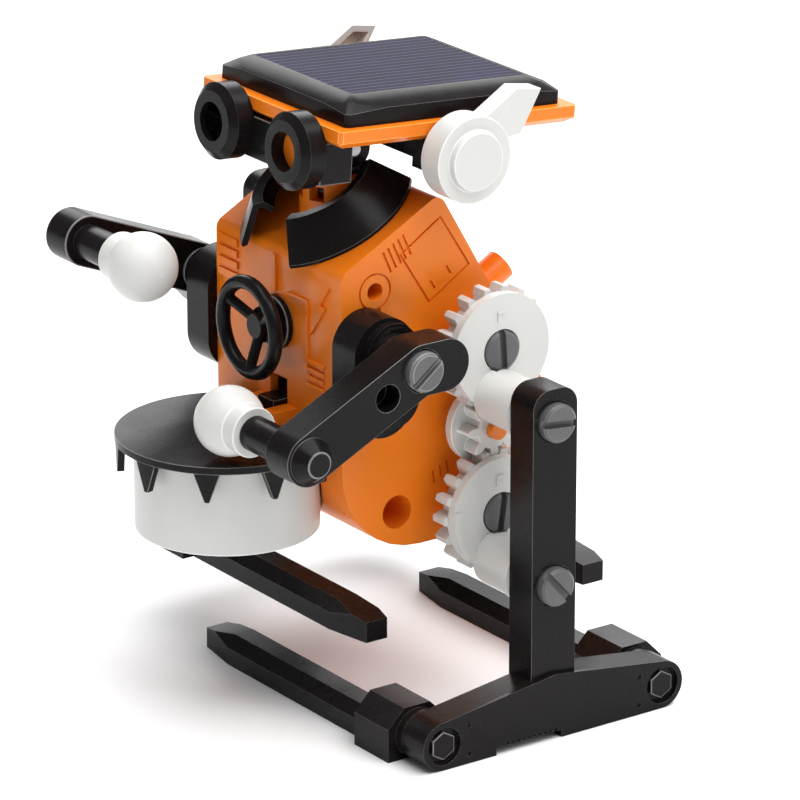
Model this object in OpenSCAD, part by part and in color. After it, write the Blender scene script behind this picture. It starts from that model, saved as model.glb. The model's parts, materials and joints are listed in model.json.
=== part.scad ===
// Solar robot kit: a walking, drumming robot with a solar panel for a head.
// Millimetres, +Z up. The robot faces -Y and its left side is +X.
// The origin is on the ground, midway between the legs.

/* [Housing] */
// Half of the housing's width
body_half_w = 23.3; // [22.5:0.1:24]
// Height of the roof's highest line above the ground
apex_z = 113.3; // [111:0.1:114]
// Height of the edge where the roof meets the front face
brow_z = 99.7; // [98:0.1:100]
// Thickness of the housing's walls
wall = 2; // [1.6:0.1:2.2]

/* [Walking gear] */
// Height of the upper crank gears' axis above the ground
crank_z = 80.44; // [80:0.01:81]
// Distance from a crank gear's axis to its leg pin
crank_throw = 9.77; // [9:0.01:10]
// Direction in which the left crank points, from the rear horizontal
crank_turn = 262.9; // [255:0.1:270]
// Module of the crank gears' teeth
tooth_size = 1.4; // [1.38:0.01:1.41]

/* [Feet] */
// Outer face of each foot beam, from the middle of the robot
beam_outer_x = 56.65; // [56.3:0.05:57]
// Distance between the front and the rear bar of a foot
bar_gap = 57.41; // [56:0.01:58]
// How far a foot bar reaches past the middle of the robot
bar_reach = 28.8; // [24:0.1:29]

/* [Arms] */
// Distance from an arm's pivot to its drumstick
arm_len = 31.2; // [30:0.1:33]
// Slope of the left arm, which is down on the drum
arm_low = -26; // [-27:0.5:-20]
// Slope of the right arm, which is up
arm_high = 22; // [10:0.5:30]

/* [Drum] */
// Radius of the drum's shell
drum_r = 19.7; // [18:0.1:20]
// Radius of the spiked crown
crown_r = 23.7; // [23:0.1:24]
// Number of spikes in a full turn of the crown
spike_count = 10; // [8:1:12]

/* [Head] */
// Width of the head plate
plate_w = 51.4; // [50:0.1:52]
// Length of the head plate
plate_len = 61; // [60:0.1:62]
// How far the head plate is tipped up at the front
head_tip = 4.2; // [0:0.1:6]

/* [Hidden] */
$fn = 64;

orange_colour = "darkorange";
black_colour = "#2b2829";
white_colour = "whitesmoke";
grey_colour = "#6d6f71";
steel_colour = "silver";

// Gaps
play = 0.05;        // radial play of a turning fit
apart = 0.3;        // gap between parts that pass each other
skin = 0.01;        // overlap that joins or cuts cleanly

// Housing, seen from the left as (Y, Z)
front_y = -16.3;
tail_y = 35.9;
tail_z = 67;
belly_z = 36.3;
belly_r = 20;
apex_y = 8.8;
roof_slope = atan2(apex_z - brow_z, apex_y - front_y);
back_slope = atan2(apex_z - tail_z, tail_y - apex_y);
housing_corners = [[front_y, belly_z, belly_r], [tail_y - 1.5, belly_z, belly_r],
    [tail_y, tail_z, 3], [apex_y, apex_z, 2.6], [front_y, brow_z, 2.6]];

// Crank train, as (Y, Z) and X
gear_teeth = 18;
idler_teeth = 8;
crank_gap = tooth_size * (gear_teeth + idler_teeth);
crank_y = 16.44;
upper_axis = [crank_y, crank_z];
idler_axis = [crank_y, crank_z - crank_gap / 2];
lower_axis = [crank_y, crank_z - crank_gap];
crank_arm = crank_throw * [cos(crank_turn), sin(crank_turn)];
gear_x0 = 29;
gear_x1 = 33;
disc_x = 35;
lip_x = 35.6;
disc_r = 12.4;
crank_boss_r = 6;
leg_x0 = 47.5;
leg_x1 = 55.4;
boss_x1 = leg_x0 - 0.2;
leg_w = 11.4;
leg_top = 78;
leg_foot_z = 4;
leg_screw_r = 2;
shaft_r = 2.4;

// Reduction train between the motor and the drive shaft
small_module = 0.6;
drive_teeth = 24;
reducer_small_teeth = 12;
reducer_big_teeth = 24;
motor_teeth = 8;
drive_distance = small_module * (drive_teeth + reducer_small_teeth) / 2;
motor_distance = small_module * (reducer_big_teeth + motor_teeth) / 2;
reducer_turn = 215;
reducer_axis = upper_axis + drive_distance * [cos(reducer_turn), sin(reducer_turn)];
motor_axis = reducer_axis - [0, motor_distance];
motor_r = 10;
motor_x0 = -16;
motor_x1 = 8;

// Feet
beam_inner_x = 48.9;
beam_end_r = 5.4;
beam_ridge_z = 14.7;
front_bar_y = -13.76;
rear_bar_y = front_bar_y + bar_gap;
block_x0 = 34.5;
block_x1 = 46.8;
block_half = 7.4;
block_h = 11.5;
bar_half = 4.6;
notch_y0 = -0.3;
notch_y1 = 16.8;
bar_h = 6.5;

// Arms and shoulders
pivot = [-11.1, 84.3];
arm_r = 5.65;
arm_x0 = 37;
arm_x1 = 45;
elbow_reach = norm(upper_axis - pivot) - arm_r - crank_throw - crank_boss_r - apart;
shoulder_r = 7.6;
shoulder_drop = 11;
ball_x = 15.5;
ball_r = 7.5;
stem_r = 3.8;
stem_end_x = 24.6;

// Drum
drum_y = -29.7;
drum_top = 62.25;
drum_bottom = 41;
crown_t = 1.6;
spike_w = 5.6;
spike_len = 6.4;

// Steering wheel
wheel_z = 83.7;
wheel_y = -23.7;
wheel_r = 9.8;
rim_r = 1.55;

// Neck and head
neck_y = -1.6;
turret_r = 7.6;
turret_top = 115;
tilt_z = 120.5;
collar_along = 14.2;
head_y = 12.45;
head_z = 129.4;
plate_t = 4;
frame_half_w = 23.35;
frame_half_len = 27.5;
frame_wall_h = 2.8;
frame_top_h = 5.6;
cell_half_w = 18;
cell_front = -22.6;
cell_back = 21.6;
eye_x = 13.3;
eye_z = -6.5;
eye_r = 8.2;
eye_bore_r = 4.2;
eye_front = -36;
ear_y = -1;
ear_z = -7.2;
ear_x0 = 26.4;
ear_x1 = 32.6;
ear_r = 9.3;
ear_cap_r = 6.6;
ear_axle_r = 2;

function unit(v) = v / norm(v);
function turned(p, a) = [p[0] * cos(a) - p[1] * sin(a), p[0] * sin(a) + p[1] * cos(a)];

// A corner list [[u, v, radius], ...] turned into an outline with round corners.
function rounded(corners, steps = 8) = [
    for (i = [0 : len(corners) - 1])
        let (n = len(corners),
            here = [corners[i][0], corners[i][1]],
            before = [corners[(i + n - 1) % n][0], corners[(i + n - 1) % n][1]],
            after = [corners[(i + 1) % n][0], corners[(i + 1) % n][1]],
            u = unit(before - here),
            v = unit(after - here),
            half = acos(u * v) / 2,
            centre = here + unit(u + v) * corners[i][2] / sin(half),
            a = here + u * corners[i][2] / tan(half) - centre,
            b = here + v * corners[i][2] / tan(half) - centre,
            from = atan2(a[1], a[0]),
            sweep = (atan2(b[1], b[0]) - from + 900) % 360 - 180)
        for (k = [0 : steps])
            centre + corners[i][2] * [cos(from + sweep * k / steps), sin(from + sweep * k / steps)]];

// The same corner list moved inwards by d, for a corner list that runs anticlockwise.
function meet(p, u, q, w) = p + u * cross(q - p, w) / cross(u, w);
function inset(corners, d) = [
    for (i = [0 : len(corners) - 1])
        let (n = len(corners),
            here = [corners[i][0], corners[i][1]],
            u = unit(here - [corners[(i + n - 1) % n][0], corners[(i + n - 1) % n][1]]),
            w = unit([corners[(i + 1) % n][0], corners[(i + 1) % n][1]] - here),
            p = meet(here + d * [-u[1], u[0]], u, here + d * [-w[1], w[0]], w))
        [p[0], p[1], max(corners[i][2] - d, 0.4)]];

// Involute gear outline.
function inv(a) = tan(a) * 180 / PI - a;
function gear_points(teeth, size, tip, root, slack, pressure = 25) = [
    for (t = [0 : teeth - 1])
        let (pitch = teeth * size / 2,
            base = pitch * cos(pressure),
            start = max(base + 0.01, root),
            half = 90 / teeth - slack * 90 / (PI * pitch) + inv(pressure))
        for (k = [0 : 9])
            let (up = k < 5,
                step = up ? k : 9 - k,
                r = step == 0 ? root : start + (tip - start) * (step - 1) / 3,
                spread = half - inv(acos(min(1, base / max(r, start)))),
                a = 360 * t / teeth + (up ? -spread : spread))
            r * [cos(a), sin(a)]];

// Extrudes a (Y, Z) outline along X.
module along_x(x0, x1) {
    translate([x0, 0, 0]) rotate([90, 0, 90]) linear_extrude(x1 - x0) children();
}

// A rod along X through p = [y, z].
module rod_x(p, r, x0, x1) {
    translate([x0, p[0], p[1]]) rotate([0, 90, 0]) cylinder(r = r, h = x1 - x0);
}

module cone_x(p, r0, r1, x0, x1) {
    translate([x0, p[0], p[1]]) rotate([0, 90, 0]) cylinder(r1 = r0, r2 = r1, h = x1 - x0);
}

// A rod along Y through (x, z).
module rod_y(x, z, r, y0, y1) {
    translate([x, y0, z]) rotate([-90, 0, 0]) cylinder(r = r, h = y1 - y0);
}

// A box from its lowest to its highest corner.
module block(low, high) {
    translate(low) cube(high - low);
}

// Two round ends joined by a straight bar, in 2D.
module link(a, b, r) {
    side = (r - skin) * unit([a[1] - b[1], b[0] - a[0]]);
    translate(a) circle(r);
    translate(b) circle(r);
    polygon([a + side, a - side, b - side, b + side]);
}

// Draws its children on the left, or mirrored on the right.
module on_side(side) {
    mirror([side == "right" ? 1 : 0, 0, 0]) children();
}

// A slotted screw along X, with its head outside.
module slotted_screw(p, head_r, head_x, head_t, shank_r, end_x, slot_turn) {
    slot_w = head_r * 0.38;
    difference() {
        union() {
            rod_x(p, head_r, head_x, head_x + head_t - 0.5);
            cone_x(p, head_r, head_r - 0.5, head_x + head_t - 0.5, head_x + head_t);
            rod_x(p, shank_r, end_x, head_x + skin);
        }
        translate([head_x + head_t - 1.3, p[0], p[1]]) rotate([slot_turn, 0, 0])
            translate([0, -slot_w / 2, -head_r - 1]) cube([2, slot_w, 2 * head_r + 2]);
    }
}

// ---- Housing ----

side_bore = [-2.2, 44.7];
side_bore_r = 3.7;
side_bore_depth = 9;
pin_bore = [-7.8, 94.8];
pin_bore_r = 1.9;
hatch = [7.5, 99];
louvre = [-4.7, 100.6];
stub_y = 24;
screw_spots = [[6.9, 104], [28.9, 62], [5.9, 41.2], [-10.5, 75]];
saddle_gap = 0.5;

// The hollow in the front that the drum and its crown stand in, grown by extra.
module drum_saddle(extra) {
    translate([0, drum_y, belly_z - 5])
        cylinder(r = drum_r + saddle_gap + extra, h = drum_top - belly_z + 5 + skin);
    translate([0, drum_y, drum_top - crown_t - 0.6 - extra])
        cylinder(r = crown_r + saddle_gap + extra, h = crown_t + 1.2 + 2 * extra);
}

module housing_walls() {
    difference() {
        along_x(0, body_half_w) polygon(rounded(housing_corners));
        difference() {
            along_x(-skin, body_half_w - wall)
                polygon(rounded(inset(housing_corners, wall)));
            drum_saddle(wall);
        }
        drum_saddle(0);
    }
}

// Raised and sunk details of the left side face.
module side_relief_cuts() {
    depth = 0.5;
    face = body_half_w - depth;
    translate([face, pin_bore[0], pin_bore[1]]) rotate([0, 90, 0]) difference() {
        cylinder(r = 4.1, h = 1);
        cylinder(r = 3.6, h = 1);
    }
    // hatch outline, parallel to the back slope
    translate([face, hatch[0], hatch[1]]) rotate([roof_slope + 4, 0, 0]) difference() {
        translate([0, -6.3, -7.2]) cube([1, 12.6, 14.4]);
        translate([-1, -5.8, -6.7]) cube([3, 11.6, 13.4]);
    }
    // two small latch marks of the hatch
    for (shift = [-3.6, 1.2])
        translate([face, hatch[0], hatch[1]]) rotate([roof_slope + 4, 0, 0])
            translate([0, shift, -5.4]) cube([1, 0.5, 2.2]);
    // louvres
    for (i = [0 : 4])
        translate([face, louvre[0] + i * 1.25, louvre[1] + i * 0.75]) rotate([roof_slope - 4, 0, 0])
            translate([0, -0.3, -2.6]) cube([1, 0.6, 5.2]);
    // short tally marks under the pin hole and near the belly
    for (spot = [[-10.7, 88.4], [-6.5, 89.6], [7.3, 50.6], [9.1, 51.4], [10.9, 52.2]])
        translate([face, spot[0], spot[1]]) rotate([10, 0, 0])
            translate([0, -0.25, -1.5]) cube([1, 0.5, 3]);
}

// Raised details of the front face on the robot's left.
module front_relief_left() {
    rise = 0.55;
    y = front_y - rise;
    // raised panel beside the steering wheel
    translate([0, y, 0]) difference() {
        block([4, 0, 76.6], [11.4, rise + 0.5, 91.4]);
        block([3, -1, 75.6], [10.9, rise + 0.01, 90.9]);
    }
    // lightning flash
    flash = [[19.6, 96.2], [16.2, 91.6], [18, 91.2], [12.6, 84.2], [17, 90], [15, 90.4]];
    translate([0, front_y + 0.5, 0]) rotate([90, 0, 0])
        linear_extrude(rise + 0.5) polygon(flash);
    // cooling ribs
    for (i = [0 : 3])
        block([11.2, y, 77.6 - i * 1.7], [17.4, front_y + 0.5, 78.4 - i * 1.7]);
}

module front_relief_right() {
    rise = 0.55;
    for (i = [0 : 3])
        block([-22, front_y - rise, 96.1 - i * 2.5], [-14.8, front_y + 0.5, 97.6 - i * 2.5]);
    block([-1.2, front_y - 0.8, 90.4], [0, front_y + 0.5, 98.4]);
}

// The clip beside the slot of the front face, which holds the crown down.
module crown_clip() {
    block([3.2, front_y - 6.2, drum_top + 0.9], [7, front_y + 0.5, drum_top + 3.9]);
}

module slot_cut() {
    block([-3.2, front_y - 1, drum_top - crown_t - 1], [3.2, front_y + wall + 1, 71.6]);
}

// Pins and bearings on the left side face for the crank train.
module gear_posts() {
    inside_x = body_half_w - wall - 2.5;
    rod_x(upper_axis, 5, inside_x, gear_x0 - apart);
    rod_x(idler_axis, 2, body_half_w - 1, gear_x1 + 1.4);
    rod_x(idler_axis, 3.6, inside_x, body_half_w + 0.9);
    rod_x(lower_axis, 5, inside_x, gear_x0 - apart);
    rod_x(lower_axis, 3, body_half_w - 1, gear_x1 - 0.4);
}

module housing_half(side) {
    inside_x = body_half_w - wall;
    difference() {
        union() {
            on_side(side) {
                housing_walls();
                gear_posts();
                rod_x(side_bore, side_bore_r + 1.6, body_half_w - side_bore_depth - 1.6, inside_x + skin);
                rod_x(pin_bore, 3.6, body_half_w - 8, inside_x + skin);
                crown_clip();
                intersection() {
                    along_x(0, inside_x + skin)
                        polygon(rounded(inset(housing_corners, wall / 2)));
                    for (spot = screw_spots)
                        rod_x(spot, 3, 0, inside_x + skin);
                }
                rod_x(reducer_axis, 3, inside_x - 3, inside_x + skin);
            }
            if (side == "left") {
                front_relief_left();
                back_stub();
            } else {
                front_relief_right();
            }
        }
        on_side(side) {
            slot_cut();
            side_relief_cuts();
            rod_x(side_bore, side_bore_r, body_half_w - side_bore_depth, body_half_w + 1);
            rod_x(pin_bore, pin_bore_r, body_half_w - 6.5, body_half_w + 1);
            rod_x(upper_axis, shaft_r + play, 10, gear_x1);
            rod_x(lower_axis, 1.3, body_half_w - 1, gear_x1 + 1);
            rod_x(pivot, 2, body_half_w - wall - 1, body_half_w + 1);
        }
        rod_y(0, wheel_z, 1.5, front_y - 1, front_y + wall + 1);
        for (spot = screw_spots)
            if (side == "left") {
                rod_x(spot, 1.25, -1, 12);
            } else {
                rod_x(spot, 1.6, -body_half_w - 1, 1);
                rod_x(spot, 3.1, -body_half_w - 1, -body_half_w + 2.6);
            }
        if (side == "left") rod_x(reducer_axis, 1, inside_x - 4, inside_x - 0.6);
    }
}

module back_stub() {
    translate([15, stub_y, tail_z + (tail_y - stub_y) * tan(back_slope)]) rotate([-back_slope, 0, 0]) {
        translate([0, 0, -wall]) cylinder(r = 3.4, h = wall + 8);
        translate([0, 0, -wall]) cylinder(r = 4.1, h = wall + 1);
    }
}

module housing_left() {
    color(orange_colour) housing_half("left");
}

module housing_right() {
    color(orange_colour) housing_half("right");
}

module housing_screws() {
    color(grey_colour) for (spot = screw_spots)
        mirror([1, 0, 0]) slotted_screw(spot, 2.8, body_half_w - 2.5, 1.9, 1.25, -9, 30);
}

// ---- Neck seat and collar ----

module neck_turret() {
    color(orange_colour) difference() {
        translate([0, neck_y, apex_z - 14]) cylinder(r = turret_r, h = turret_top - apex_z + 14);
        translate([0, neck_y, apex_z - 15]) cylinder(r = 5.3 + play, h = 30);
        // everything under the roof
        along_x(-20, 20) polygon([[front_y - 10, brow_z - 10 * tan(roof_slope)],
            [front_y + 40, brow_z + 40 * tan(roof_slope)], [front_y + 40, 60], [front_y - 10, 60]]);
        // windows in the front wall
        for (x = [-4.6, 1.2])
            block([x, neck_y - 12, 109.4], [x + 3.4, neck_y, 112.6]);
    }
}

// The collar's own frame lies on the roof, with +Z square to the roof.
module on_roof() {
    translate([0, front_y + collar_along * cos(roof_slope), brow_z + collar_along * sin(roof_slope)])
        rotate([roof_slope, 0, 0]) children();
}

module collar() {
    open_front = 27;
    open_back = 42;
    section = [[19.6, 0.8], [13.5, 8.4], [11.2, 8], [9.6, 5.2], [10.6, 4.6], [11.9, 6.8], [12.8, 7],
        [18.4, 0.05], [19.6, 0.05]];
    color(black_colour) difference() {
        on_roof() {
            for (start = [open_front - 90, 90 + open_back])
                rotate([0, 0, start]) rotate_extrude(angle = 180 - open_front - open_back)
                    polygon(section);
            // seat that joins the two arcs behind the turret
            difference() {
                translate([0, 0, 0.05]) cylinder(r = 18.6, h = 1.2);
                translate([0, 0, -1]) cylinder(r = 14.6, h = 4);
                translate([-30, -30, -1]) cube([60, 33, 4]);
                translate([-30, 14, -1]) cube([60, 30, 4]);
            }
        }
        translate([0, neck_y, apex_z - 14]) cylinder(r = turret_r + apart, h = 30);
    }
}

// ---- Steering wheel ----

module wheel_seat() {
    color(black_colour) {
        rod_y(0, wheel_z, 5.8, front_y - 1.6, front_y);
        rod_y(0, wheel_z, 1.5, front_y - 5.4, front_y + wall + 0.6);
    }
}

module steering_wheel() {
    hub_back = front_y - 1.6 - 0.1;
    color(black_colour) difference() {
        union() {
            translate([0, wheel_y, wheel_z]) rotate([90, 0, 0])
                rotate_extrude() translate([wheel_r, 0]) circle(rim_r, $fn = 32);
            rod_y(0, wheel_z, 3.8, hub_back - 2.6, hub_back);
            rod_y(0, wheel_z, 2.6, hub_back - 4.6, hub_back);
            for (turn = [90, 210, 330])
                translate([0, hub_back - 2.4, wheel_z]) rotate([0, turn, 0]) rotate([0, 0, -19])
                    rotate([0, 90, 0]) cylinder(r = 1.15, h = wheel_r + 0.5, $fn = 24);
        }
        rod_y(0, wheel_z, 1.5 + play, hub_back - 3.9, hub_back + 1);
    }
}

// ---- Drum ----

module drum_shell() {
    color(white_colour) translate([0, drum_y, drum_bottom]) difference() {
        cylinder(r = drum_r, h = drum_top - crown_t - drum_bottom);
        translate([0, 0, 1.8]) cylinder(r = drum_r - 1.8, h = 40);
    }
}

module drum_crown() {
    spike_turn = 360 / spike_count;
    color(black_colour) {
        translate([0, drum_y, drum_top - crown_t]) cylinder(r = crown_r, h = crown_t);
        translate([0, drum_y, drum_top - crown_t - 2]) difference() {
            cylinder(r = drum_r - 1.85, h = 2 + skin);
            translate([0, 0, -1]) cylinder(r = drum_r - 3.4, h = 4);
        }
        // spikes all round, except where the crown stands in the housing
        for (i = [0 : spike_count - 1])
            if (abs(i * spike_turn - 180 + 10) > 58)
                translate([0, drum_y, 0]) rotate([0, 0, i * spike_turn - 80])
                    translate([crown_r - 1.9, 0, 0]) rotate([90, 0, 90]) linear_extrude(1.6)
                        polygon([[-spike_w / 2, drum_top - 0.8], [spike_w / 2, drum_top - 0.8],
                            [spike_w / 2, drum_top - crown_t], [0.5, drum_top - crown_t - spike_len],
                            [-0.5, drum_top - crown_t - spike_len], [-spike_w / 2, drum_top - crown_t]]);
        // lug that hooks into the slot of the housing
        block([-2.9, front_y - 3.4, drum_top - skin], [2.9, front_y + 1.4, drum_top + 5]);
    }
}

// ---- Shoulders and arms ----

module shoulder(side) {
    lower = pivot - [0, shoulder_drop];
    color(black_colour) on_side(side) difference() {
        union() {
            along_x(body_half_w, 31.5) link(pivot, lower, shoulder_r);
            along_x(31.5 - skin, 34) link(pivot + [1, 0.4], lower + [1, 1.2], shoulder_r - 1.4);
            rod_x(pivot, 5, 34 - skin, 36.2);
        }
        // groove round the upper lobe
        translate([33.2, pivot[0] + 1, pivot[1] + 0.4]) rotate([0, 90, 0]) difference() {
            cylinder(r = 6.9, h = 2);
            cylinder(r = 5.5, h = 2);
        }
        rod_x(pivot, 2, body_half_w - 1, 37);
    }
}

module shoulder_left() {
    shoulder("left");
}

module shoulder_right() {
    shoulder("right");
}

// Where an arm's drumstick goes through, as (Y, Z).
function stick_spot(slope) = pivot + arm_len * [-cos(slope), sin(slope)];

module arm(side, slope) {
    bend = arm_low;
    elbow = pivot + turned([elbow_reach, 0], bend - slope);
    pocket = pivot + 9.7 * [-cos(slope), sin(slope)];
    color(black_colour) on_side(side) difference() {
        union() {
            along_x(arm_x0, arm_x1) {
                link(pivot, elbow, arm_r);
                link(pivot, stick_spot(slope), arm_r);
            }
            rod_x(pivot, 4.6, 36.4, arm_x0 + skin);
        }
        rod_x(pivot, 2 + play, 36, arm_x1 + 1);
        rod_x(pivot, 4.7, arm_x1 - 0.7, arm_x1 + 1);
        rod_x(pocket, 3, arm_x1 - 5, arm_x1 + 1);
        rod_x(stick_spot(slope), 2.5, arm_x0 - 1, arm_x1 + 1);
    }
}

module arm_left() {
    arm("left", arm_low);
}

module arm_right() {
    arm("right", arm_high);
}

module arm_screws() {
    color(grey_colour) for (side = ["left", "right"])
        on_side(side) slotted_screw(pivot, 4.3, arm_x1 - 0.6, 2.6, 2, body_half_w - 1.2, -52);
}

module drumstick(side, slope) {
    spot = stick_spot(slope);
    color(black_colour) on_side(side) {
        cone_x(spot, 5.1, 2.75, arm_x1, arm_x1 + 3.4);
        rod_x(spot, 2.5, arm_x0 - skin, arm_x1 + skin);
        rod_x(spot, stem_r, stem_end_x, arm_x0);
        rod_x(spot, 2.2, ball_x, stem_end_x + skin);
    }
}

module drumstick_left() {
    drumstick("left", arm_low);
}

module drumstick_right() {
    drumstick("right", arm_high);
}

module drumstick_ball(side, slope) {
    spot = stick_spot(slope);
    color(white_colour) on_side(side) difference() {
        union() {
            translate([ball_x, spot[0], spot[1]]) rotate([0, 90, 0]) sphere(ball_r);
            rod_x(spot, 5.4, ball_x + 4, stem_end_x);
        }
        rod_x(spot, 2.2, ball_x - 0.2, stem_end_x + 1);
    }
}

module drumstick_ball_left() {
    drumstick_ball("left", arm_low);
}

module drumstick_ball_right() {
    drumstick_ball("right", arm_high);
}

// ---- Motor and reduction train ----

module motor_can() {
    flat = 7.6;
    color(steel_colour) difference() {
        intersection() {
            rod_x(motor_axis, motor_r, motor_x0 + 2, motor_x1);
            block([motor_x0, motor_axis[0] - 20, motor_axis[1] - flat],
                [motor_x1 + 1, motor_axis[0] + 20, motor_axis[1] + flat]);
        }
        rod_x(motor_axis, motor_r - 1, motor_x0, motor_x1 - 1);
        rod_x(motor_axis, 1.05, motor_x1 - 2, motor_x1 + 1);
    }
}

module motor_cap() {
    flat = 7.6;
    color(white_colour) difference() {
        intersection() {
            union() {
                rod_x(motor_axis, motor_r, motor_x0, motor_x0 + 2);
                rod_x(motor_axis, motor_r - 1.05, motor_x0, motor_x0 + 4);
            }
            block([motor_x0 - 1, motor_axis[0] - 20, motor_axis[1] - flat],
                [motor_x1, motor_axis[0] + 20, motor_axis[1] + flat]);
        }
        rod_x(motor_axis, 1.05, motor_x0 + 1, motor_x0 + 5);
    }
}

module motor_pinion() {
    pitch = motor_teeth * small_module / 2;
    color(steel_colour) {
        rod_x(motor_axis, 1, motor_x0 + 1.4, 10.1);
        // turned so that a gap faces the reduction gear
        translate([0, motor_axis[0], motor_axis[1]]) rotate([180 / motor_teeth, 0, 0])
            along_x(10, 13.4)
                polygon(gear_points(motor_teeth, small_module, pitch + 0.5, pitch - 0.65, 0.12));
    }
}

module reduction_axle() {
    color(steel_colour) rod_x(reducer_axis, 1, 9.4, body_half_w - wall - 0.7);
}

module reduction_gear() {
    big = reducer_big_teeth * small_module / 2;
    small = reducer_small_teeth * small_module / 2;
    color(white_colour) difference() {
        translate([0, reducer_axis[0], reducer_axis[1]]) {
            along_x(10.2, 13.2)
                polygon(gear_points(reducer_big_teeth, small_module, big + 0.5, big - 0.7, 0.12));
            rotate([reducer_turn - 180, 0, 0]) along_x(13.2 - skin, 17.4)
                polygon(gear_points(reducer_small_teeth, small_module, small + 0.5, small - 0.65, 0.12));
        }
        rod_x(reducer_axis, 1 + play, 9, 18);
    }
}

// ---- Crank train ----

module drive_shaft() {
    color(steel_colour) difference() {
        rod_x(upper_axis, shaft_r, -30.6, 30.6);
        for (side = ["left", "right"])
            on_side(side) rod_x(upper_axis, 1.3, 20, 31);
    }
}

module drive_gear() {
    pitch = drive_teeth * small_module / 2;
    // turned so that its teeth fall between those of the reduction gear
    mesh_turn = reducer_turn + 180 / drive_teeth;
    color(white_colour) difference() {
        translate([0, upper_axis[0], upper_axis[1]]) {
            rotate([mesh_turn, 0, 0]) along_x(13.7, 16.7)
                polygon(gear_points(drive_teeth, small_module, pitch + 0.5, pitch - 0.7, 0.12));
            rod_x([0, 0], 4, 13.7, 18.5);
        }
        rod_x(upper_axis, shaft_r, 13, 19);
    }
}

// A toothed wheel with a disc and a crank boss, on the left at p.
module crank_wheel(p, arm) {
    pitch = gear_teeth * tooth_size / 2;
    pin = p + arm;
    translate([0, p[0], p[1]]) along_x(gear_x0, gear_x1)
        polygon(gear_points(gear_teeth, tooth_size, pitch + 0.8, pitch - 1.8, 0.2));
    rod_x(p, disc_r, gear_x1 - skin, disc_x);
    rod_x(pin, crank_boss_r, disc_x - skin, boss_x1);
    rod_x(pin, crank_boss_r + 0.5, boss_x1 - 1.9, boss_x1);
    // raised lip on the rim beside the crank boss
    translate([disc_x - skin, p[0], p[1]]) rotate([90, 0, 90])
        rotate([0, 0, atan2(arm[1], arm[0]) - 95]) rotate_extrude(angle = 57)
            translate([disc_r - 1.5, 0]) square([1.4, lip_x - disc_x]);
    // small corner mark above the axle
    translate([disc_x - skin, p[0], p[1]]) {
        translate([0, -1.2, 8.2]) cube([0.4, 2.2, 0.45]);
        translate([0, -1.2, 6.4]) cube([0.25, 0.45, 2.2]);
    }
}

module crank_gear(side, arm) {
    color(white_colour) on_side(side) difference() {
        crank_wheel(upper_axis, arm);
        rod_x(upper_axis, shaft_r, gear_x0 - 1, 30.6);
        rod_x(upper_axis, 1.6, 30, gear_x1 + 1);
        rod_x(upper_axis, 4.6, gear_x1 - 0.2, lip_x + 1);
        rod_x(upper_axis + arm, leg_screw_r, 40.5, boss_x1 + 1);
    }
}

module crank_gear_left() {
    crank_gear("left", crank_arm);
}

module crank_gear_right() {
    crank_gear("right", -crank_arm);
}

module crank_gear_screws() {
    color(grey_colour) for (side = ["left", "right"])
        on_side(side) slotted_screw(upper_axis, 4.3, gear_x1 - 0.2, 2.9, 1.3, 24, 4);
}

module leg_screw(pin, slot_turn) {
    slotted_screw(pin, 4.2, leg_x1 - 0.7, 2.7, leg_screw_r, 41, slot_turn);
}

module leg_top_screws() {
    color(grey_colour) {
        leg_screw(upper_axis + crank_arm, 84);
        on_side("right") leg_screw(upper_axis - crank_arm, 84);
    }
}

module idler(side) {
    pitch = idler_teeth * tooth_size / 2;
    color(white_colour) on_side(side) difference() {
        union() {
            translate([0, idler_axis[0], idler_axis[1]])
                along_x(gear_x0 - apart - skin, gear_x1 - apart)
                    polygon(gear_points(idler_teeth, tooth_size, pitch + 1.35, pitch - 1.25, 0.2));
            rod_x(idler_axis, 5, body_half_w + 1.1, gear_x0 - 2.3);
            rod_x(idler_axis, 8.5, gear_x0 - 2.4, gear_x0 - apart);
        }
        rod_x(idler_axis, 2 + play, body_half_w, gear_x1 + 2);
    }
}

module idler_left() {
    idler("left");
}

module idler_right() {
    idler("right");
}

module lower_gear(side, arm) {
    color(white_colour) on_side(side) difference() {
        crank_wheel(lower_axis, arm);
        rod_x(lower_axis, 3 + play, gear_x0 - 1, gear_x1 + 1);
        rod_x(lower_axis, 4.6, gear_x1 - 0.2, lip_x + 1);
        rod_x(lower_axis + arm, leg_screw_r, 40.5, boss_x1 + 1);
    }
}

module lower_gear_left() {
    lower_gear("left", crank_arm);
}

module lower_gear_right() {
    lower_gear("right", -crank_arm);
}

module lower_gear_screws() {
    color(grey_colour) for (side = ["left", "right"])
        on_side(side) slotted_screw(lower_axis, 4.3, gear_x1 - 0.1, 2.8, 1.3, 24, -8);
}

module lower_leg_screw_left() {
    color(grey_colour) leg_screw(lower_axis + crank_arm, 42);
}

module lower_leg_screw_right() {
    color(grey_colour) on_side("right") leg_screw(lower_axis - crank_arm, 42);
}

// ---- Legs and feet ----

// Moves a foot drawn under the left crank to where its own crank holds it.
module carried_by(side) {
    shift = side == "left" ? [0, 0] : -2 * crank_arm;
    on_side(side) translate([0, shift[0], shift[1]]) children();
}

module leg(side) {
    top_pin = upper_axis + crank_arm;
    low_pin = lower_axis + crank_arm;
    mid = top_pin[0];
    color(black_colour) carried_by(side) difference() {
        along_x(leg_x0, leg_x1) polygon(rounded([[mid - leg_w / 2, leg_foot_z, 0.5],
            [mid + leg_w / 2, leg_foot_z, 0.5], [mid + leg_w / 2, leg_top, 4.2],
            [mid - leg_w / 2, leg_top, 4.2]]));
        rod_x(top_pin, leg_screw_r + play, leg_x0 - 1, leg_x1 + 1);
        rod_x(low_pin, leg_screw_r + apart, leg_x0 - 1, leg_x1 + 1);
        for (pin = [top_pin, low_pin])
            rod_x(pin, 4.7, leg_x1 - 0.8, leg_x1 + 1);
    }
}

module leg_left() {
    leg("left");
}

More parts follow.
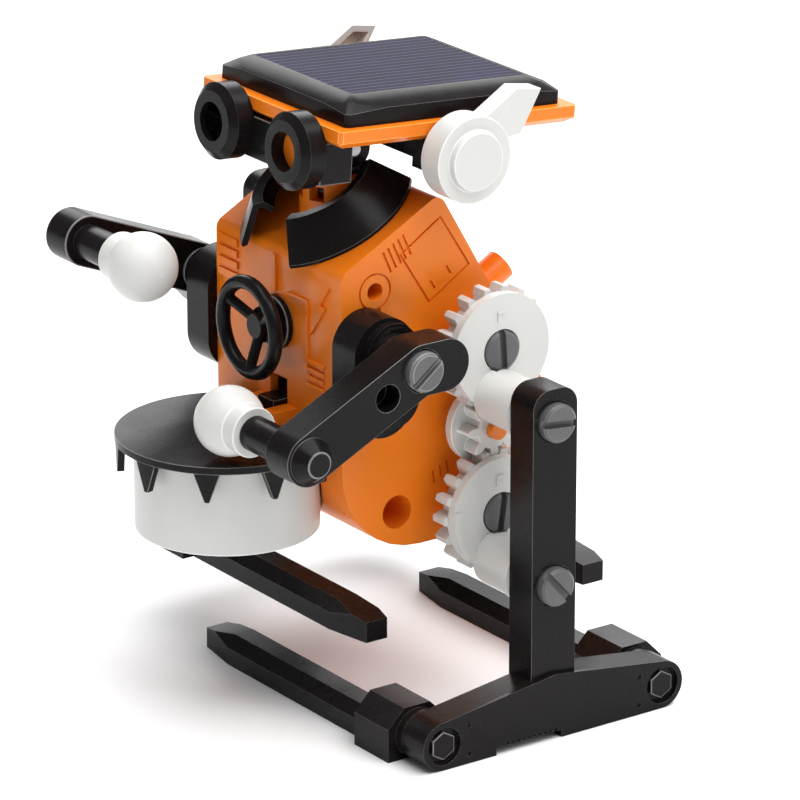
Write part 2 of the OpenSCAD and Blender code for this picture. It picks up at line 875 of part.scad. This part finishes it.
module leg_right() {
    leg("right");
}

module foot_beam(side) {
    mid = upper_axis[0] + crank_arm[0];
    ends = [front_bar_y, rear_bar_y];
    color(black_colour) carried_by(side) difference() {
        along_x(beam_inner_x, beam_outer_x) {
            for (y = ends)
                translate([y, beam_end_r]) circle(beam_end_r);
            polygon([[front_bar_y, 0], [rear_bar_y, 0], [rear_bar_y, 2 * beam_end_r],
                [mid, beam_ridge_z], [front_bar_y, 2 * beam_end_r]]);
        }
        block([leg_x0, mid - leg_w / 2, leg_foot_z], [leg_x1, mid + leg_w / 2, 20]);
        // grip notch with a serrated roof
        block([beam_inner_x - 1, notch_y0, -1], [beam_outer_x + 1, notch_y1, 1.7]);
        for (i = [0 : 10])
            translate([beam_inner_x - 1, notch_y0 + 1.6 + i * 1.4, 1.6]) rotate([45, 0, 0])
                cube([10, 0.6, 0.6]);
        for (y = ends) {
            rod_x([y, beam_end_r], 4.2, beam_outer_x - 1.3, beam_outer_x + 1);
            rod_x([y, beam_end_r], 1.7, beam_inner_x - 1, beam_outer_x + 1);
        }
        for (y = [front_bar_y + 6.3, rear_bar_y - 6.3], z = [2.2, 8.6])
            rod_x([y, z], 0.6, beam_outer_x - 0.4, beam_outer_x + 1);
    }
}

module foot_beam_left() {
    foot_beam("left");
}

module foot_beam_right() {
    foot_beam("right");
}

module foot_bar(side, y) {
    taper = 11;
    tip_x = -bar_reach;
    color(black_colour) carried_by(side) translate([0, y, 0]) difference() {
        union() {
            rod_x([0, beam_end_r], beam_end_r, block_x1 - skin, beam_inner_x);
            along_x(block_x0, block_x1) polygon([[-block_half, 0], [block_half, 0],
                [block_half, block_h - 4.1], [block_half - 4.1, block_h],
                [4.1 - block_half, block_h], [-block_half, block_h - 4.1]]);
            intersection() {
                along_x(tip_x, block_x0 + 1) polygon([[-bar_half, 0], [bar_half, 0],
                    [bar_half, bar_h - 2.6], [bar_half - 2.2, bar_h],
                    [2.2 - bar_half, bar_h], [-bar_half, bar_h - 2.6]]);
                // plan, narrower at the tip
                translate([0, 0, -1]) linear_extrude(20) polygon([[tip_x, -2.7],
                    [tip_x + taper, -bar_half], [block_x0 + 1, -bar_half],
                    [block_x0 + 1, bar_half], [tip_x + taper, bar_half], [tip_x, 2.7]]);
                // side view, lower at the tip
                translate([0, 10, 0]) rotate([90, 0, 0]) linear_extrude(20) polygon([[tip_x, 0],
                    [block_x0 + 1, 0], [block_x0 + 1, bar_h], [tip_x + taper, bar_h],
                    [tip_x, bar_h - 1.9]]);
            }
        }
        rod_x([0, beam_end_r], 1.6, 40, beam_inner_x + 1);
    }
}

module foot_bar_front_left() {
    foot_bar("left", front_bar_y);
}

module foot_bar_front_right() {
    foot_bar("right", front_bar_y);
}

module foot_bar_rear_left() {
    foot_bar("left", rear_bar_y);
}

module foot_bar_rear_right() {
    foot_bar("right", rear_bar_y);
}

module foot_bolts(side) {
    color(black_colour) carried_by(side) for (y = [front_bar_y, rear_bar_y]) {
        translate([beam_outer_x - 1.3, y, beam_end_r]) rotate([0, 90, 0])
            cylinder(r = 3.2, h = 1, $fn = 6);
        rod_x([y, beam_end_r], 1.6, 40.4, beam_outer_x - 1.3 + skin);
    }
}

module foot_bolts_left() {
    foot_bolts("left");
}

module foot_bolts_right() {
    foot_bolts("right");
}

// ---- Neck and head ----

module neck_post() {
    foot_z = brow_z + (neck_y + 5.3 - front_y) * tan(roof_slope) + 0.4;
    color(black_colour) difference() {
        union() {
            translate([0, neck_y, foot_z]) cylinder(r = 5.3, h = turret_top - foot_z + 0.2);
            translate([0, neck_y, turret_top + 0.15]) cylinder(r = 6.8, h = 1);
            block([-3.8, neck_y - 4, turret_top + 1], [3.8, neck_y + 4, tilt_z]);
            rod_x([neck_y, tilt_z], 4, -3.8, 3.8);
        }
        rod_x([neck_y, tilt_z], 1.5 + play, -5, 5);
    }
}

module tilt_pin() {
    color(steel_colour) rod_x([neck_y, tilt_z], 1.5, -7.4, 7.4);
}

// The head's own frame: the middle of the plate's top face, tipped with the plate.
module on_head() {
    translate([0, head_y, head_z]) rotate([-head_tip, 0, 0]) children();
}

module head_bracket() {
    under = -plate_t;
    hinge = turned([neck_y - head_y, tilt_z - head_z], head_tip);
    color(black_colour) on_head() difference() {
        union() {
            block([-24.6, ear_y - 5, under - 5.6], [24.6, ear_y + 5, under]);
            for (x = [-24.6, 17.6])
                block([x, ear_y - 5, under - 7.6], [x + 7, ear_y + 5, under - 5.5]);
            for (x = [-7.2, 4.1]) {
                block([x, hinge[0] - 6, under - 2.4], [x + 3.1, ear_y - 4, under]);
                block([x, hinge[0] - 4, hinge[1]], [x + 3.1, hinge[0] + 4, under]);
                rod_x(hinge, 4, x, x + 3.1);
            }
        }
        rod_x(hinge, 1.5, -9, 9);
        rod_x([ear_y, ear_z], ear_axle_r + play, -30, 30);
    }
}

module head_plate() {
    half_w = plate_w / 2;
    half_len = plate_len / 2;
    cut = 0.8;
    color(orange_colour) on_head() {
        intersection() {
            // plan with cut corners
            translate([0, 0, -plate_t]) linear_extrude(plate_t) polygon([
                [-half_w + cut, -half_len], [half_w - cut, -half_len], [half_w, -half_len + cut],
                [half_w, half_len - cut], [half_w - cut, half_len], [-half_w + cut, half_len],
                [-half_w, half_len - cut], [-half_w, -half_len + cut]]);
            // front view and side view, with sloping undersides
            translate([0, half_len + 1, 0]) rotate([90, 0, 0]) linear_extrude(plate_len + 2)
                polygon([[-half_w, 0], [-half_w, -2.6], [-half_w + 2, -plate_t],
                    [half_w - 2, -plate_t], [half_w, -2.6], [half_w, 0]]);
            along_x(-half_w - 1, half_w + 1) polygon([[-half_len, 0], [-half_len, -2.6],
                [-half_len + 2, -plate_t], [half_len - 2, -plate_t], [half_len, -2.6],
                [half_len, 0]]);
        }
        // pegs for the eyes
        for (x = [-eye_x, eye_x])
            rod_y(x, eye_z, eye_bore_r, -half_len - 2.4, -half_len + 6);
    }
}

// Rounded rectangle in plan.
module plan(half_w, half_len, r) {
    polygon(rounded([[-half_w, -half_len, r], [half_w, -half_len, r],
        [half_w, half_len, r], [-half_w, half_len, r]]));
}

module solar_frame() {
    mid = (cell_front + cell_back) / 2;
    cell_half_len = (cell_back - cell_front) / 2;
    color(black_colour) on_head() difference() {
        // a cushion shape: the walls are a little lower at the corners
        hull() {
            linear_extrude(frame_wall_h) plan(frame_half_w, frame_half_len, 1.2);
            linear_extrude(frame_wall_h + 0.75) {
                square([2 * frame_half_w, 2 * frame_half_len - 20], center = true);
                square([2 * frame_half_w - 17, 2 * frame_half_len], center = true);
            }
            translate([0, 0, frame_wall_h + 1.6]) linear_extrude(0.02)
                plan(frame_half_w - 2, frame_half_len - 2, 2);
            translate([0, mid, frame_top_h - 0.02]) linear_extrude(0.02)
                plan(cell_half_w + 0.8, cell_half_len + 0.8, 1.2);
        }
        translate([0, mid, frame_top_h - 1.2]) linear_extrude(5)
            plan(cell_half_w, cell_half_len, 0.8);
    }
}

module solar_cell() {
    mid = (cell_front + cell_back) / 2;
    cell_half_len = (cell_back - cell_front) / 2;
    color("#1c1f3a") on_head() translate([0, mid, frame_top_h - 1.2]) linear_extrude(1.15)
        plan(cell_half_w, cell_half_len, 0.8);
}

module eye(x) {
    back = -plate_len / 2;
    color(black_colour) on_head() difference() {
        union() {
            translate([x, eye_front, eye_z]) rotate([-90, 0, 0])
                cylinder(r1 = eye_r - 1.7, r2 = eye_r, h = 1.5);
            rod_y(x, eye_z, eye_r, eye_front + 1.5 - skin, back);
        }
        rod_y(x, eye_z, eye_bore_r, eye_front - 1, back + 1);
    }
}

module eye_left() {
    eye(eye_x);
}

module eye_right() {
    eye(-eye_x);
}

module eye_holder() {
    back = -plate_len / 2;
    color(black_colour) on_head() difference() {
        block([-eye_x - 6, back, -13], [eye_x + 6, back + 8, -plate_t]);
        // the plate's sloping front edge
        along_x(-30, 30) polygon([[back - 1, 0], [back - 1, -2.6], [back, -2.6],
            [back + 2, -plate_t], [back + 9, -plate_t], [back + 9, 0]]);
        for (x = [-eye_x, eye_x])
            rod_y(x, eye_z, eye_bore_r, back - 1, back + 6);
    }
}

module ear_axle() {
    color(black_colour) on_head() {
        rod_x([ear_y, ear_z], ear_axle_r, -ear_x1 + 2.5, ear_x1 - 2.5);
        for (side = ["left", "right"])
            on_side(side) rod_x([ear_y, ear_z], 3.2, 24.9, ear_x0);
    }
}

// One ear: a round boss with a swept blade, hollow towards the head.
module ear(side) {
    blade = [[2.4, 8.8], [10.2, 14.3], [16.6, 13.7], [12, 4.4], [7, 3.6]];
    inner_blade = [[5.4, 8.9], [10.6, 12.7], [14.6, 12.3], [11.4, 6], [8.8, 5.6]];
    color(white_colour) on_head() on_side(side) translate([0, ear_y, ear_z]) difference() {
        union() {
            rod_x([0, 0], ear_r, ear_x0, ear_x1);
            cone_x([0, 0], ear_cap_r, ear_cap_r - 0.4, ear_x1 - skin, ear_x1 + 1.5);
            along_x(ear_x0 + 1, ear_x1 - 0.6) polygon(blade);
        }
        difference() {
            rod_x([0, 0], ear_r - 1.6, ear_x0 - 1, ear_x1 - 2);
            rod_x([0, 0], 3.8, ear_x0 - 1, ear_x1);
        }
        along_x(ear_x0, ear_x1 - 2.2) polygon(inner_blade);
        rod_x([0, 0], ear_axle_r, ear_x0 - 1, ear_x1 - 2.5);
    }
}

module ear_left() {
    ear("left");
}

module ear_right() {
    ear("right");
}

housing_left();
housing_right();
housing_screws();
neck_turret();
collar();
wheel_seat();
drum_shell();
drum_crown();
shoulder_left();
shoulder_right();
arm_screws();
motor_can();
motor_cap();
motor_pinion();
reduction_axle();
reduction_gear();
drive_shaft();
drive_gear();
crank_gear_left();
crank_gear_right();
crank_gear_screws();
leg_top_screws();
idler_left();
idler_right();
lower_gear_left();
lower_gear_right();
lower_gear_screws();
lower_leg_screw_left();
lower_leg_screw_right();
leg_left();
leg_right();
foot_beam_left();
foot_beam_right();
foot_bar_front_left();
foot_bar_front_right();
foot_bar_rear_left();
foot_bar_rear_right();
foot_bolts_left();
foot_bolts_right();
arm_left();
arm_right();
drumstick_left();
drumstick_right();
drumstick_ball_left();
drumstick_ball_right();
steering_wheel();
neck_post();
tilt_pin();
head_bracket();
head_plate();
solar_frame();
solar_cell();
eye_left();
eye_right();
eye_holder();
ear_axle();
ear_left();
ear_right();
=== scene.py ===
"""Looks of the solar robot kit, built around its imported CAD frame. All lengths are in metres."""

import json
import math

import bmesh
import bpy
from mathutils import Matrix, Vector

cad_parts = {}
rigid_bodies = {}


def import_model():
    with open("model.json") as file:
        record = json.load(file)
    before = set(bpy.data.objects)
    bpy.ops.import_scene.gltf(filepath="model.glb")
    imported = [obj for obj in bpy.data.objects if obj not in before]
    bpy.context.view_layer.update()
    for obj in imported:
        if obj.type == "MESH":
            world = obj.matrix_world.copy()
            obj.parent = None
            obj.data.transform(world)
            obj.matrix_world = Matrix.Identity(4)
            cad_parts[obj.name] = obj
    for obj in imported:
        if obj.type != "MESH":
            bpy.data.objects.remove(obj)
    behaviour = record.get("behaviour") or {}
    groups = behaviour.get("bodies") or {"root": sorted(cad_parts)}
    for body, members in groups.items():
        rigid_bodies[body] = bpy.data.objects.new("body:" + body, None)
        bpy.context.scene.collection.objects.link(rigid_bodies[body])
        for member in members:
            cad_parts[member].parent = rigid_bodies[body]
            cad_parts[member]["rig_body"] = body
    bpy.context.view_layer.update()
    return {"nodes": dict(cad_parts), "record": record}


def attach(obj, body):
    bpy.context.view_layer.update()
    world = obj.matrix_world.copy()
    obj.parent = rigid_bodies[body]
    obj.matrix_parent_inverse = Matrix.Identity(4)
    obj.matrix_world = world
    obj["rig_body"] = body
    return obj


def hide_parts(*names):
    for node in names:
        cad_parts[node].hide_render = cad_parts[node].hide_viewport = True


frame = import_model()

MM = 0.001

# ---------------------------------------------------------------- node helpers


def new_material(name):
    """A node material, with its node tree and its Principled shader."""
    mat = bpy.data.materials.new(name)
    mat.use_nodes = True
    tree = mat.node_tree
    return mat, tree, tree.nodes["Principled BSDF"]


def give(tree, sockets, key, value):
    """Link value to the socket if it is another node's output, or set it as the socket's value."""
    if isinstance(value, bpy.types.NodeSocket):
        tree.links.new(value, sockets[key])
    else:
        sockets[key].default_value = value


def add(tree, kind, inputs=None, **settings):
    """A node of the given kind. inputs maps a socket to a value or to another node's output."""
    node = tree.nodes.new(kind)
    for key, value in settings.items():
        setattr(node, key, value)
    for key, value in (inputs or {}).items():
        give(tree, node.inputs, key, value)
    return node


def object_coords(tree):
    """Object coordinates, in metres."""
    return add(tree, "ShaderNodeTexCoord").outputs["Object"]


def maths(tree, operation, a, b=0.0):
    """One Math node's result."""
    return add(tree, "ShaderNodeMath", {0: a, 1: b}, operation=operation).outputs[0]


def noise(tree, coords, scale, detail=3.0):
    """Noise from 0 to 1 over object coordinates, with scale in cycles per metre."""
    inputs = {"Vector": coords, "Scale": scale, "Detail": detail, "Roughness": 0.55}
    return add(tree, "ShaderNodeTexNoise", inputs).outputs[0]


def spread(tree, value, low, high, to_low=0.0, to_high=1.0):
    """Value mapped from [low, high] to [to_low, to_high], clamped."""
    inputs = {0: value, 1: low, 2: high, 3: to_low, 4: to_high}
    return add(tree, "ShaderNodeMapRange", inputs).outputs[0]


def mix(tree, factor, a, b):
    """Colour a blended towards colour b."""
    return add(tree, "ShaderNodeMix", {0: factor, 6: a, 7: b}, data_type="RGBA").outputs[2]


def rgb(red, green, blue):
    """A colour with full opacity."""
    return (red, green, blue, 1.0)


# ---------------------------------------------------------------- materials

# Cycles per metre of a plastic's slow colour drift, of its uneven gloss and of its moulded skin.
DRIFT_SCALE = 24.0
GLOSS_SCALE = 130.0
SKIN_SCALE = 5200.0
SKIN_DEPTH = 0.1 * MM
GLOSS_SPREAD = 0.03

# Most of a noise lies between these values.
NOISE_LOW = 0.3
NOISE_HIGH = 0.7


def plastic(name, base, deep, rough, grain, gloss):
    """Moulded plastic: faint colour drift, slightly uneven gloss and a fine skin texture."""
    mat, tree, shader = new_material(name)
    coords = object_coords(tree)
    drift = spread(tree, noise(tree, coords, DRIFT_SCALE), NOISE_LOW, NOISE_HIGH)
    cloud = spread(tree, noise(tree, coords, GLOSS_SCALE), NOISE_LOW, NOISE_HIGH)
    uneven = spread(tree, cloud, 0.0, 1.0, rough - GLOSS_SPREAD, rough + GLOSS_SPREAD)
    relief = {"Strength": grain, "Distance": SKIN_DEPTH, "Height": noise(tree, coords, SKIN_SCALE, 2.0)}
    give(tree, shader.inputs, "Base Color", mix(tree, drift, rgb(*deep), rgb(*base)))
    give(tree, shader.inputs, "Roughness", uneven)
    give(tree, shader.inputs, "Normal", add(tree, "ShaderNodeBump", relief).outputs[0])
    shader.inputs["Specular IOR Level"].default_value = gloss
    return mat


def steel(name):
    """Drawn steel with fine streaks along X."""
    mat, tree, shader = new_material(name)
    squeeze = {"Vector": object_coords(tree), "Scale": (60.0, 2400.0, 2400.0)}
    streak = noise(tree, add(tree, "ShaderNodeMapping", squeeze).outputs[0], 1.0, 4.0)
    colour = mix(tree, streak, rgb(0.42, 0.42, 0.43), rgb(0.66, 0.66, 0.67))
    give(tree, shader.inputs, "Base Color", colour)
    give(tree, shader.inputs, "Roughness", spread(tree, streak, 0.2, 0.8, 0.22, 0.4))
    shader.inputs["Metallic"].default_value = 1.0
    return mat


def solar_skin(name, line_pitch, line_width):
    """Dark blue cells with fine pale conductor lines along Y, under a coating that reflects little."""
    mat, tree, shader = new_material(name)
    coords = object_coords(tree)
    across = add(tree, "ShaderNodeSeparateXYZ", {0: coords}).outputs[0]
    wave = maths(tree, "FRACT", maths(tree, "MULTIPLY", across, 1.0 / line_pitch))
    distance = maths(tree, "ABSOLUTE", maths(tree, "SUBTRACT", wave, 0.5))
    half_line = line_width / line_pitch / 2
    lines = spread(tree, distance, half_line, half_line * 1.8, 1.0, 0.0)
    crystal = spread(tree, noise(tree, coords, 60.0, 2.0), 0.35, 0.65)
    cells = mix(tree, crystal, rgb(0.003, 0.003, 0.016), rgb(0.007, 0.006, 0.032))
    colour = mix(tree, maths(tree, "MULTIPLY", lines, 0.7), cells, rgb(0.11, 0.10, 0.20))
    give(tree, shader.inputs, "Base Color", colour)
    give(tree, shader.inputs, "Roughness", spread(tree, crystal, 0.0, 1.0, 0.10, 0.12))
    shader.inputs["Specular IOR Level"].default_value = 0.03
    return mat


# Name of the surface: light colour, deep colour, roughness, strength of the skin, gloss.
PLASTICS = {
    "orange_plastic": ((0.90, 0.215, 0.010), (0.86, 0.195, 0.008), 0.30, 0.015, 0.3),
    "black_plastic": ((0.0100, 0.0080, 0.0080), (0.0075, 0.0065, 0.0065), 0.27, 0.02, 0.12),
    "white_plastic": ((0.68, 0.675, 0.65), (0.65, 0.645, 0.62), 0.34, 0.015, 0.3),
    "grey_plastic": ((0.125, 0.125, 0.127), (0.10, 0.10, 0.103), 0.40, 0.06, 0.3),
}

# Lighter, glossier copies of the plastics without the moulded skin, for the rounded edges: painted
# highlights along the edges.
EDGE_HIGHLIGHT_PAINT = {
    "orange_plastic": ((1.0, 0.40, 0.07), (0.97, 0.35, 0.06), 0.26, 0.0, 0.5),
    "black_plastic": ((0.23, 0.225, 0.215), (0.15, 0.147, 0.142), 0.28, 0.0, 0.5),
    "white_plastic": ((0.86, 0.855, 0.84), (0.83, 0.825, 0.81), 0.32, 0.0, 0.4),
    "grey_plastic": ((0.24, 0.24, 0.24), (0.19, 0.19, 0.19), 0.34, 0.0, 0.4),
}

MATERIALS = {slot: plastic(slot, *look) for slot, look in PLASTICS.items()}
MATERIALS["steel"] = steel("steel")
MATERIALS["solar_cell"] = solar_skin("solar_cell", line_pitch=2.2 * MM, line_width=0.22 * MM)
# Materials that paint highlights onto rounded edges.
EDGE_HIGHLIGHT_MATERIALS = {slot: plastic(slot.replace("plastic", "edge"), *look) for slot, look in EDGE_HIGHLIGHT_PAINT.items()}

# ---------------------------------------------------------------- pieces from CAD nodes

SLOT_OF = {row["node"]: row["material_slot"] for row in frame["record"]["subparts"]}

# How far the edges of some nodes are rounded, in millimetres. The name of a pair leaves out its side.
ROUNDING = {
    "housing": 0.4, "head_plate": 0.35, "solar_frame": 0.4, "ear": 0.5, "eye": 0.45,
    "leg": 0.5, "arm": 0.5, "foot_beam": 0.4, "shoulder": 0.5,
    "foot_bar_front": 0.4, "foot_bar_rear": 0.4,
    "drum_shell": 0.35, "collar": 0.2, "solar_cell": 0.1,
    "motor_pinion": 0.05, "reduction_gear": 0.06, "drive_gear": 0.06,
    "crank_gear": 0.2, "lower_gear": 0.2, "idler": 0.18,
}
USUAL_ROUNDING = 0.25
ROUNDING_STEPS = 3

# Edges that turn more than this are edges of the real piece, and the rest are steps of a curve.
SHARP = math.radians(28)
# Faces that turn less than this are one flat face.
FLAT = math.radians(0.6)
WELD = 0.004 * MM


def rounding_of(node):
    """How far the edges of a node are rounded, in metres."""
    plain = node.removesuffix("_left").removesuffix("_right")
    return ROUNDING.get(plain, USUAL_ROUNDING) * MM


def clean_mesh(source, name):
    """A smooth copy of a CAD mesh without doubled points or splits inside flat faces."""
    mesh = source.data.copy()
    mesh.name = name
    bm = bmesh.new()
    bm.from_mesh(mesh)
    bmesh.ops.remove_doubles(bm, verts=bm.verts, dist=WELD)
    bmesh.ops.dissolve_limit(bm, angle_limit=FLAT, verts=bm.verts, edges=bm.edges)
    for face in bm.faces:
        face.smooth = True
    bm.to_mesh(mesh)
    bm.free()
    return mesh


def rounded_piece(node):
    """A copy of a CAD node with clean faces and rounded edges, which stands for that node."""
    source = frame["nodes"][node]
    slot = SLOT_OF[node]
    mesh = clean_mesh(source, node + "_shape")
    mesh.materials.clear()
    mesh.materials.append(MATERIALS[slot])
    # Plastics get a second material for their rounded edges: a lighter copy, which is a painted
    # highlight.
    if slot in EDGE_HIGHLIGHT_MATERIALS:
        mesh.materials.append(EDGE_HIGHLIGHT_MATERIALS[slot])
    mesh.set_sharp_from_angle(angle=SHARP)
    piece = bpy.data.objects.new(node + "_piece", mesh)
    bpy.context.scene.collection.objects.link(piece)
    bevel = piece.modifiers.new("edges", "BEVEL")
    bevel.width = rounding_of(node)
    bevel.segments = ROUNDING_STEPS
    bevel.limit_method = "ANGLE"
    bevel.angle_limit = SHARP
    bevel.use_clamp_overlap = True
    bevel.harden_normals = True
    # The bevel's faces take the last material. For plastics this is the painted edge highlight.
    bevel.material = len(mesh.materials) - 1
    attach(piece, source["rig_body"])
    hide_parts(node)


for node_name in frame["nodes"]:
    rounded_piece(node_name)

# ---------------------------------------------------------------- floor, camera and light


def pale_floor(size, squares):
    """A plain, nearly white floor at the robot's feet."""
    mat, tree, shader = new_material("floor")
    tone = spread(tree, noise(tree, object_coords(tree), 1.3), NOISE_LOW, NOISE_HIGH)
    colour = mix(tree, tone, rgb(0.95, 0.95, 0.95), rgb(0.965, 0.965, 0.965))
    give(tree, shader.inputs, "Base Color", colour)
    shader.inputs["Roughness"].default_value = 0.7
    bpy.ops.mesh.primitive_grid_add(x_subdivisions=squares, y_subdivisions=squares, size=size)
    floor = bpy.context.object
    floor.name = "floor"
    floor.data.materials.append(mat)


def camera(azimuth, elevation, distance, target, lens):
    """A camera that looks at target. Azimuth 0 looks along +Y and turns towards -X."""
    a = math.radians(azimuth)
    e = math.radians(elevation)
    back = Vector((math.sin(a) * math.cos(e), -math.cos(a) * math.cos(e), math.sin(e)))
    right = Vector((math.cos(a), math.sin(a), 0.0))
    turn = Matrix((right, back.cross(right), back)).transposed().to_4x4()
    data = bpy.data.cameras.new("camera")
    data.lens = lens
    data.sensor_width = 36.0
    data.clip_end = 30.0
    cam = bpy.data.objects.new("camera", data)
    cam.matrix_world = Matrix.Translation(target + back * distance) @ turn
    bpy.context.scene.collection.objects.link(cam)
    bpy.context.scene.camera = cam


def softbox(name, place, aim, size, power):
    """A rectangular area light at place, facing aim."""
    data = bpy.data.lights.new(name, "AREA")
    data.shape = "RECTANGLE"
    data.size, data.size_y = size
    data.energy = power
    lamp = bpy.data.objects.new(name, data)
    lamp.location = place
    lamp.rotation_euler = (Vector(aim) - Vector(place)).to_track_quat("-Z", "Y").to_euler()
    lamp.visible_camera = False
    bpy.context.scene.collection.objects.link(lamp)


def studio_air(colour, strength):
    """Even light from all around."""
    world = bpy.data.worlds.new("studio")
    world.use_nodes = True
    background = world.node_tree.nodes["Background"]
    background.inputs["Color"].default_value = colour
    background.inputs["Strength"].default_value = strength
    bpy.context.scene.world = world


pale_floor(size=14.0, squares=8)
camera(azimuth=54.55, elevation=19.64, distance=1.1526,
       target=Vector((0.01022, 0.00791, 0.06393)), lens=243.5)

BODY = (0.0, 0.0, 0.07)
NECK = (0.0, 0.0, 0.1)
HEAD = (0.0, 0.0, 0.13)
softbox("top", place=(0.3, 0.2, 2.2), aim=BODY, size=(2.6, 2.6), power=90.0)
softbox("side", place=(1.5, 0.5, 1.3), aim=BODY, size=(1.0, 1.0), power=7.0)
softbox("back", place=(-2.0, 1.54, 0.36), aim=HEAD, size=(2.4, 0.8), power=4.5)
softbox("rim", place=(-1.5, 1.15, 1.15), aim=NECK, size=(2.2, 0.9), power=26.0)
studio_air(rgb(0.93, 0.95, 1.0), 0.2)
bpy.context.scene.view_settings.view_transform = "Standard"
